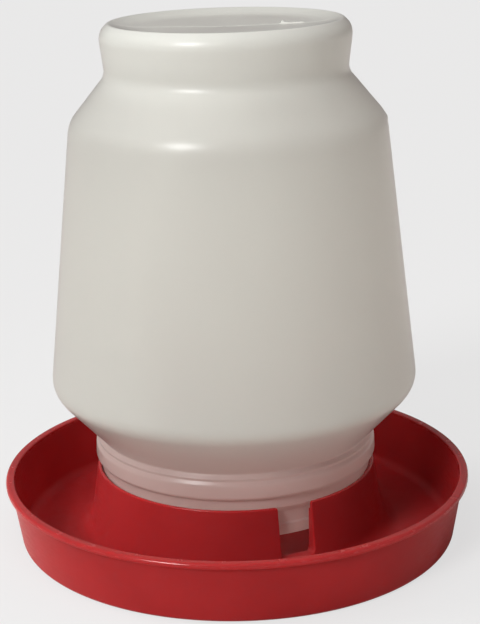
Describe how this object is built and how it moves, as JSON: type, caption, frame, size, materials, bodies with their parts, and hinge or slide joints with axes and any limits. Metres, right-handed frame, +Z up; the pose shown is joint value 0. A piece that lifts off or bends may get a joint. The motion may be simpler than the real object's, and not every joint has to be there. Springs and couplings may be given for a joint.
{
  "type": "poultry waterer fount",
  "caption": "Gravity drinker for poultry: an inverted translucent jar stands mouth down in a round red tray with a raised, notched collar.",
  "frame": {"origin": "centre of the underside of the tray, on the ground", "axes": "+Z up along the axis of the jar and the tray; -Y towards the drinking notch in the collar"},
  "size_m": [0.232, 0.232, 0.2546],
  "materials": {
    "red_plastic": "satin moulded red plastic",
    "natural_plastic": "translucent natural blow-moulded plastic"
  },
  "bodies": {
    "base": {"tray": "red_plastic"},
    "reservoir": {"jar": "natural_plastic"}
  },
  "joints": [
    {"name": "jar_lift", "type": "slide", "parent": "base", "child": "reservoir", "axis": [0, 0, 1], "range_m": [0, 0.06]}
  ]
}
